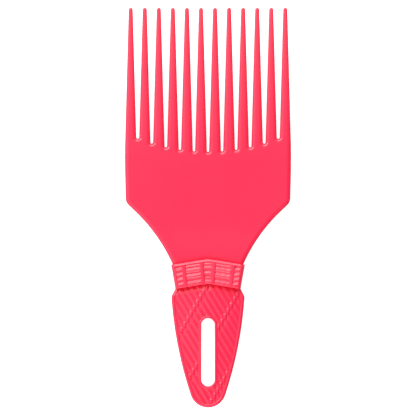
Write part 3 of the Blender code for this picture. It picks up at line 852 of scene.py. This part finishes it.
def head_mould(plan):
    """Thick at the neck, even over the plate, and thinner to the tips."""
    mould = Mould("plate_and_picks")
    nodes, read, read_pick = mould.nodes, mould.reader(plan.plate), mould.reader(plan.picks)
    _, station = mould.place()
    above_head = station - mould.chevron(plan, plan.head)
    groove = mould.hollow(above_head, read("groove_reach"), read("groove_depth"))
    even = read("thickness") / 2.0
    thinned = nodes.ease(station, plan.head, read("neck_swell") + plan.head)
    swell = (read("neck_thickness") / 2.0 - even) * (1.0 - thinned)
    fine = (even - read_pick("tip_thickness") / 2.0) * nodes.ramp(station, plan.roots, plan.tips)
    edge = mould.rounding(mould.stored("edge"), mould.stored("rim")) * read("edge_fall")
    mould.finish(even + swell - fine - edge - groove, plan.shift)
    return mould


# Collar


def collar_columns(plan, hand):
    """One half of the face's columns, from the right side (hand 1) or the left one (-1) to the middle.

    Each is a pair of shares of the half width, at the foot and at the head.
    """
    width = plan.collar_half_width(0.5)
    step = plan.collar.fillet / width

    def wall(shares, inward):
        steps = [inward * step * part for part in COLLAR_FILLET_STEPS]
        return [(shares[0] + offset, shares[1] + offset) for offset in steps]

    def fill(first, second, count):
        steps = [part / count for part in range(1, count)]
        return [tuple(a + (b - a) * part for a, b in zip(first, second)) for part in steps]

    side = [(1 - distance / width,) * 2 for distance in on_rounding(plan.collar.side_round)]
    offset = hand * plan.collar.bar_offset / width
    inner, outer = ([share + offset for share in bar] for bar in (SIDE_BAR_INNER, SIDE_BAR_OUTER))
    walls = [wall(TIE_CELL_OUTER, -1), wall(outer, 1)[::-1], wall(inner, -1)]
    walls += [wall(CENTRE_BAR_OUTER, 1)[::-1], wall(CENTRE_BAR_INNER, -1), [(0.0, 0.0)]]
    columns = [share for share in side if share[0] > TIE_CELL_OUTER[0] + COLUMN_CLEARANCE]
    for count, next_wall in zip(COLLAR_COLUMNS, walls):
        columns = columns + fill(columns[-1], next_wall[0], count) + next_wall
    return columns[:-1]


def collar_face(plan):
    """The collar drawn flat, as a grid whose columns follow the bars."""
    left = [(-at_foot, -at_head) for at_foot, at_head in collar_columns(plan, -1)]
    at_foot, at_head = np.transpose([*left, (0.0, 0.0), *collar_columns(plan, 1)[::-1]])
    tall = plan.collar.height
    low = [distance / tall for distance in on_rounding(plan.collar.foot_round)]
    high = [1 - distance / tall for distance in reversed(on_rounding(plan.collar.head_round))]
    ups = np.array([*low[:-1], *np.linspace(low[-1], high[0], COLLAR_ROWS), *high[1:]])[:, None]
    x = (at_foot + (at_head - at_foot) * ups) * (plan.collar_half_width(ups) - PARTING_PROUD)
    flat, sideways, endways = np.zeros((3, *x.shape))
    sideways[:, 0], sideways[:, -1], endways[0], endways[-1] = -1, 1, -1, 1
    stations = plan.chevron(x, plan.foot + tall * ups) - endways * PARTING_PROUD
    corners = np.arange(x.size).reshape(x.shape)
    faces = np.stack([corners[:-1, :-1], corners[:-1, 1:], corners[1:, 1:], corners[1:, :-1]], axis=-1)
    places = np.stack([x, stations, flat], axis=-1)
    mesh = bpy.data.meshes.new("collar_face")
    mesh.from_pydata(places.reshape(-1, 3).tolist(), [], faces.reshape(-1, 4).tolist())
    store(mesh, "up", np.ravel(ups + flat))
    store(mesh, "outward", np.stack([sideways, endways, flat], axis=-1).reshape(-1, 3))
    return mesh


def collar_mould(plan):
    """Rounded sides and beads round five sunk cells, with knots in the middle, cords, and slanting ties."""
    collar = plan.collar
    mould = Mould("bound_collar")
    nodes, read = mould.nodes, mould.reader(collar)
    across, _ = mould.place()
    up = mould.stored("up")
    level = up * read("height")
    from_head = read("height") - level
    half_width = up * ((collar.head_width - collar.foot_width) / 2) + collar.foot_width / 2
    from_middle = abs(across)
    right = across.sign()
    side = mould.rounding((half_width - PARTING_PROUD - from_middle).most(0.0), read("side_round"))
    foot_fall = mould.rounding(level, read("foot_round")) / read("foot_round")
    head_fall = 1.0 - from_head.least(read("head_round")) / read("head_round")
    end = (foot_fall + head_fall) * read("edge_drop")
    fillet = read("fillet")

    def wall(shares, offset=0.0):
        return (up * (shares[1] - shares[0]) + shares[0]) * half_width + offset

    to_right = right * read("bar_offset")
    bar_inner, bar_outer = wall(SIDE_BAR_INNER, to_right), wall(SIDE_BAR_OUTER, to_right)
    centre = 1.0 - nodes.ease(from_middle, wall(CENTRE_BAR_INNER) - fillet, wall(CENTRE_BAR_INNER))
    beside = nodes.between(from_middle, wall(CENTRE_BAR_OUTER), bar_inner, fillet)
    outer = nodes.between(from_middle, bar_outer, wall(TIE_CELL_OUTER), fillet)
    open_ends = nodes.ease(level, read("foot_bead"), read("foot_bead") + read("foot_slope"))
    open_ends = open_ends * nodes.ease(from_head, read("head_bead"), read("head_bead") + read("head_slope"))

    wander = (across * (2 * math.pi) / read("lay")).sine() * read("twist") / read("height")
    cords = nodes.curve(up + wander, CORD_CURVE)

    lean = (from_middle / half_width - SIDE_BAR_OUTER[0]) / (TIE_CELL_OUTER[0] - SIDE_BAR_OUTER[0]) - 0.5
    rise = right * ((TIE_RISES[1] - TIE_RISES[0]) / 2) + sum(TIE_RISES) / 2
    ties = nodes.curve(up - rise * right * lean, TIE_CURVE)

    knots = 0.0
    for crest, below, above, width, height in KNOTS:
        roof = ((up - (crest - below)) / below).least(((crest + above) - up) / above).most(0.0)
        aside = across / (half_width * (width / 2))
        squared = aside * aside
        knots = (roof * (1.0 - squared * squared).most(0.0) * height).most(knots)

    def laid(inner, outer_wall):
        """1 where cords lie between two walls, with slopes at their ends."""
        return nodes.between(from_middle, inner + read("moat"), outer_wall - read("moat"), read("end_slope"))

    cords = cords * laid(wall(CENTRE_BAR_OUTER), bar_inner)
    ties = ties * laid(bar_outer, wall(TIE_CELL_OUTER))
    relief = (centre * knots + cords + ties) * read("cord_height")
    cells = (centre + beside + outer) * open_ends
    half = read("thickness") / 2.0 - side - end
    mould.finish(half - cells * read("cell_depth") + relief * open_ends, plan.shift)
    return mould


# Grip


def grip_face(plan):
    """The grip drawn flat. Its inner points lie on lines that follow the ribs and the rows of beads."""
    grip = plan.grip
    steps = [grip.fillet * part for part in GRIP_FILLET_STEPS]
    outer = [grip.border, *(grip.border + step for step in steps)]
    inner = [grip.slot_border, *(grip.slot_border + step for step in steps)]
    outline = Loop("edge", plan.grip_outline(), grip.edge_round, outer)
    slot = Loop("slot_edge", plan.slot_outline(), grip.slot_round, inner)
    slants = grip.rib_slant, grip.bead_slant
    across_lines = np.array([(math.sin(slant), -math.cos(slant)) for slant in slants])
    rib_step, bead_step = grip.rib_pitch / LINES_TO_RIB, grip.bead_pitch / LINES_TO_BEADS
    reach = int((plan.foot + grip.width) / rib_step)
    numbers = np.arange(-reach, reach)
    offsets = np.meshgrid(grip.rib_place + numbers * rib_step, grip.bead_place + numbers * bead_step)
    lattice = np.stack(offsets, axis=-1).reshape(-1, 2) @ np.linalg.inv(across_lines).T + (0.0, plan.foot)
    x, station = lattice.T
    near = (np.abs(x) < grip.width / 2) & (station > 0) & (station < plan.foot + HIDDEN_DEPTH)
    return face_mesh("grip_face", outline, [slot], lattice[near])


def grip_mould(plan):
    """A smooth border round a sunk field of slanting ribs, with rows of beads and pits between them."""
    mould = Mould("ribbed_grip")
    nodes, read = mould.nodes, mould.reader(plan.grip)
    across, station = mould.place()
    edge, slot = mould.stored("edge"), mould.stored("slot_edge")
    thickness, heel = read("thickness"), read("heel_thickness")
    half = heel / 2.0 + (thickness - heel) / 2.0 * (station / plan.foot)
    aside = across / (read("width") / 2.0)
    half = half - aside * aside * read("crown")
    below_foot = mould.chevron(plan, plan.foot) - station
    half = half - mould.hollow(below_foot, read("valley_reach"), read("valley_depth"))
    rims = mould.rounding(edge, read("edge_round")) + mould.rounding(slot, read("slot_round"))
    border, slot_border, fillet = read("border"), read("slot_border"), read("fillet")
    field = nodes.ease(edge, border, border + fillet) * nodes.ease(slot, slot_border, slot_border + fillet)

    def rows(kind, aside=0.0):
        """1 on the slanting lines of the ribs or beads, or beside them, falling to 0 further off."""
        slant, pitch = read(kind + "_slant"), read(kind + "_pitch")
        offset = across * slant.sine() - (station - plan.foot) * (slant + math.pi / 2).sine()
        apart = abs((offset - read(kind + "_place") - aside).wrap(pitch * 0.5, pitch * -0.5))
        return 1.0 - nodes.ease(apart, read(kind + "_flat"), read(kind + "_foot"))

    ribs = rows("rib")
    between_ribs = 1.0 - ribs * SUNK_ON_RIBS
    beads = rows("bead") * between_ribs * read("bead_height")
    pits = rows("bead", read("pit_offset")) * between_ribs * read("pit_depth")
    ribs = ribs * (read("rib_height") * (1.0 - aside.most(0.0) * read("rib_fade")))
    relief = ribs.blend_most(beads, CREASE) - pits
    relief = relief * nodes.ease(edge, border, border + read("rib_end"))
    mould.finish(half - rims - field * (read("groove_depth") - relief), plan.shift)
    return mould


# Plastic


def emptied(owner):
    """The nodes of a material or a world, with none in them yet."""
    owner.use_nodes = True
    owner.node_tree.nodes.clear()
    return Nodes(owner.node_tree)


def coral_plastic(name, finish, roughness, flow_scale, grain_scale, painted_sheen_span=None):
    """Moulded plastic with faint flow marks, uneven gloss and a fine grain, and a painted sheen that pales it
    along Y.
    """
    material = bpy.data.materials.new(name)
    nodes = emptied(material)
    place = nodes.add("ShaderNodeTexCoord", out=3)

    def noise(vector, scale, detail):
        return nodes.add("ShaderNodeTexNoise", {"Vector": vector, "Scale": scale, "Detail": detail})

    drawn_out = nodes.add("ShaderNodeMapping", {"Vector": place, "Scale": FLOW_STRETCH})
    flow = noise(drawn_out, flow_scale, 3.0)
    flow.socket.node.inputs["Roughness"].default_value = 0.55
    gloss = noise(place, flow_scale * GLOSS_FINENESS, 4.0)
    grain = noise(place, grain_scale, 2.0)
    bump = nodes.add("ShaderNodeBump", {"Strength": 1.0, "Distance": finish.grain, "Height": grain})
    tone = nodes.mixed(nodes.ease(flow, *FLOW_RANGE), tuple(finish.coral), tuple(finish.flow))
    # Painted sheen: the coral pales along Y towards the tips of the picks
    if painted_sheen_span:
        tone = nodes.mixed(nodes.ramp(nodes.parts(place)[1], *painted_sheen_span), tone, tuple(finish.painted_tip_sheen))
    uneven = nodes.ease(gloss, *GLOSS_RANGE) * GLOSS_SPREAD + (roughness - GLOSS_SPREAD / 2)
    sockets = {"Base Color": tone, "Roughness": uneven, "Normal": bump, "IOR": 1.56}
    nodes.add("ShaderNodeOutputMaterial", {"Surface": nodes.add("ShaderNodeBsdfPrincipled", sockets)})
    material.diffuse_color = finish.coral
    return material


# Studio


def seen_share(nodes):
    """1 for rays from the camera and through clear things, a little for reflections, and 0 for the light."""
    rays = nodes.add("ShaderNodeLightPath").socket.node.outputs
    direct = Value(nodes, rays["Is Camera Ray"]).most(Value(nodes, rays["Is Transmission Ray"]))
    return direct.most(Value(nodes, rays["Is Glossy Ray"]) * MIRRORED_SHARE)


def floor_surface(light):
    """White for the camera, and still darker where the comb shades it."""
    material = bpy.data.materials.new("studio_floor_white")
    nodes = emptied(material)
    diffuse = nodes.add("ShaderNodeBsdfDiffuse", {"Color": FLOOR_WHITE})
    glow = nodes.add("ShaderNodeEmission", {"Color": WHITE, "Strength": seen_share(nodes) * light.floor})
    surface = nodes.add("ShaderNodeAddShader", {0: diffuse, 1: glow})
    nodes.add("ShaderNodeOutputMaterial", {"Surface": surface})
    return material


def studio_world(light):
    """Soft light all round, dimmer at the right, low at the left and overhead. The camera sees it white."""
    world = bpy.data.worlds.new("studio")
    nodes = emptied(world)
    seen = seen_share(nodes)
    right, far, up = nodes.parts(nodes.add("ShaderNodeTexCoord", out=3))
    overhead = 1.0 - nodes.ease(up, *OVERHEAD) * light.ceiling
    dark_right = 1.0 - nodes.ease(right, *RIGHTWARD) * light.dark_side
    dim_left = 1.0 - nodes.ease(0.0 - right, *LEFTWARD) * light.dim_left
    glow = nodes.ease(far, *FARWARD) * light.far_glow + nodes.ease(0.0 - far, *NEARWARD) * light.near_glow
    level = (dark_right * dim_left * overhead + glow) * light.sky
    level = seen + (1.0 - seen) * level
    sky = nodes.add("ShaderNodeBackground", {"Color": WHITE, "Strength": level})
    nodes.add("ShaderNodeOutputWorld", {"Surface": sky})
    return world


def soft_box(name, radiance, direction, wide, tall):
    """A soft box in that direction, turned to the comb, as bright all over as that radiance."""
    data = bpy.data.lights.new(name, "AREA")
    data.shape = "RECTANGLE"
    data.size = wide
    data.size_y = tall
    data.energy = radiance * math.pi * wide * tall
    lamp = placed(name, data)
    towards = Vector(direction).normalized()
    lamp.location = towards * LAMP_DISTANCE
    lamp.rotation_euler = towards.to_track_quat("Z", "Y").to_euler()


def camera_above(lens, sensor, view_width, centre):
    """A long lens straight above the comb, picks up."""
    data = bpy.data.cameras.new("studio_camera")
    data.lens = lens
    data.sensor_width = sensor
    data.clip_start = 0.05
    data.clip_end = 20.0
    camera = placed("studio_camera", data)
    camera.location = (centre[0], centre[1], centre[2] + view_width * lens / sensor)
    bpy.context.scene.camera = camera


# Operators, one for each body and one for the studio


class COMB_OT_plate(Operator):
    """Mould the plate and its twelve picks"""

    bl_idname = "comb.plate"
    bl_label = "Plate and picks"

    def execute(self, context):
        finish, plan = context.scene.comb.finish, Plan(context.scene.comb)
        # Where the painted sheen starts before the gaps and where it is full, at the tips
        painted_sheen_span = (plan.roots + plan.shift[1] - PAINTED_SHEEN_LEAD, plan.tips + plan.shift[1])
        scales = {"flow_scale": 26.0, "grain_scale": 3000.0}
        plastic = coral_plastic("plate_coral_polished", finish, finish.roughness, **scales, painted_sheen_span=painted_sheen_span)
        picks = [f"tooth_{number:02d}" for number in range(1, PICK_COUNT + 1)]
        cast("plate_and_picks", head_face(plan), head_mould(plan), plastic, ["head_plate", *picks])
        return {"FINISHED"}


class COMB_OT_collar(Operator):
    """Mould the collar with its cords, ties and knots"""

    bl_idname = "comb.collar"
    bl_label = "Bound collar"

    def execute(self, context):
        finish, plan = context.scene.comb.finish, Plan(context.scene.comb)
        scales = {"flow_scale": 60.0, "grain_scale": 3400.0}
        plastic = coral_plastic("collar_coral_relief", finish, finish.collar_roughness, **scales)
        cast("bound_collar", collar_face(plan), collar_mould(plan), plastic, ["collar"])
        return {"FINISHED"}


class COMB_OT_grip(Operator):
    """Mould the ribbed grip with its hanging slot"""

    bl_idname = "comb.grip"
    bl_label = "Ribbed grip"

    def execute(self, context):
        finish, plan = context.scene.comb.finish, Plan(context.scene.comb)
        scales = {"flow_scale": 36.0, "grain_scale": 3200.0}
        plastic = coral_plastic("grip_coral_satin", finish, finish.grip_roughness, **scales)
        cast("ribbed_grip", grip_face(plan), grip_mould(plan), plastic, ["handle", "grip_front", "grip_back"])
        return {"FINISHED"}


class COMB_OT_studio(Operator):
    """Set up the floor, the lamps and the camera"""

    bl_idname = "comb.studio"
    bl_label = "Studio"

    def execute(self, context):
        scene = context.scene
        light = scene.comb.light
        mesh = bpy.data.meshes.new("studio_floor")
        corners = ((-1, -1), (1, -1), (1, 1), (-1, 1))
        mesh.from_pydata([(x * FLOOR_REACH, y * FLOOR_REACH, 0) for x, y in corners], [], [(0, 1, 2, 3)])
        mesh.materials.append(floor_surface(light))
        floor = placed("studio_floor", mesh)
        floor.location.z = -FLOOR_DROP
        scene.world = studio_world(light)
        scene.view_settings.view_transform = "Standard"
        soft_box("key_soft_box", light.key, direction=(-0.10, 1.0, 0.90), wide=1.0, tall=0.46)
        soft_box("side_soft_box", light.side, direction=(-1.0, 0.62, 0.95), wide=0.20, tall=0.40)
        camera_above(lens=200.0, sensor=36.0, view_width=0.18713, centre=(0.0, -0.00026, 0.0064))
        return {"FINISHED"}


class COMB_PT_panel(Panel):
    """The comb's sizes and finish, and what builds it."""

    bl_idname = "COMB_PT_panel"
    bl_label = "Volumizing comb"
    bl_space_type = "VIEW_3D"
    bl_region_type = "UI"
    bl_category = "Comb"

    def draw(self, context):
        settings = context.scene.comb
        for operator in OPERATORS:
            self.layout.operator(operator.bl_idname)
        for group in ("picks", "plate", "collar", "grip", "finish", "light"):
            box = self.layout.box()
            box.label(text=settings.bl_rna.properties[group].name)
            owner = getattr(settings, group)
            for prop in owner.bl_rna.properties:
                if prop.identifier not in ("rna_type", "name"):
                    box.prop(owner, prop.identifier)


GROUPS = (PickSizes, PlateSizes, CollarSizes, GripSizes, PlasticFinish, StudioLight, CombSettings)
OPERATORS = (COMB_OT_plate, COMB_OT_collar, COMB_OT_grip, COMB_OT_studio)
CLASSES = (*GROUPS, *OPERATORS, COMB_PT_panel)


def register():
    for cls in CLASSES:
        bpy.utils.register_class(cls)
    bpy.types.Scene.comb = PointerProperty(type=CombSettings, name="Comb", description="The comb's settings")


def unregister():
    del bpy.types.Scene.comb
    for cls in reversed(CLASSES):
        bpy.utils.unregister_class(cls)


def main():
    register()
    bpy.ops.comb.plate()
    bpy.ops.comb.collar()
    bpy.ops.comb.grip()
    bpy.ops.comb.studio()


if __name__ == "__main__":
    main()
